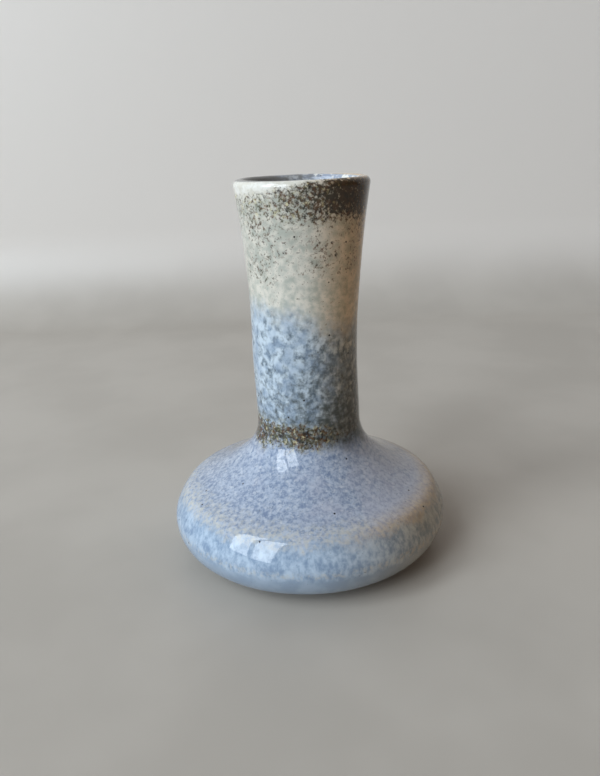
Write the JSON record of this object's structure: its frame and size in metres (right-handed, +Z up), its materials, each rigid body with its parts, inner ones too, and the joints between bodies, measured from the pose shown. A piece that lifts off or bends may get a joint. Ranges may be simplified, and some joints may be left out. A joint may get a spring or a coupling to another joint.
{
  "type": "ceramic bud vase",
  "caption": "Small glazed stoneware bud vase: squat rounded belly on a low foot ring, tall straight neck opening into a rounded lip, hollow inside for water and stems.",
  "frame": {"origin": "centre of the foot ring, on the surface that the vase stands on", "axes": "+Z up along the vase's own axis, from the foot to the lip; the vase is the same all round, so +X and +Y are free, and the view that it was modelled from looks along +Y"},
  "size_m": [0.0824, 0.0824, 0.109],
  "materials": {
    "bare_clay": "matt unglazed stoneware, fine grit",
    "joint_slip": "matt fired slip",
    "base_glaze": "smooth gloss pale blue-grey glaze",
    "body_glaze": "gloss lavender-blue glaze with fine grey-blue mottling",
    "neck_glaze": "gloss mid-blue glaze with coarse blue-grey mottling and brown speckle at its foot",
    "rim_glaze": "gloss cream glaze with olive and dark brown iron speckle, dense round the lip",
    "lining_glaze": "gloss pale grey-blue glaze, lightly speckled"
  },
  "bodies": {
    "root": {"base_bowl": "bare_clay", "belly_slip_joint": "joint_slip", "shoulder_dome": "bare_clay", "neck_slip_joint": "joint_slip", "neck_tube": "bare_clay", "base_glaze": "base_glaze", "body_glaze": "body_glaze", "neck_glaze": "neck_glaze", "rim_glaze": "rim_glaze", "lining_glaze": "lining_glaze"}
  },
  "joints": []
}
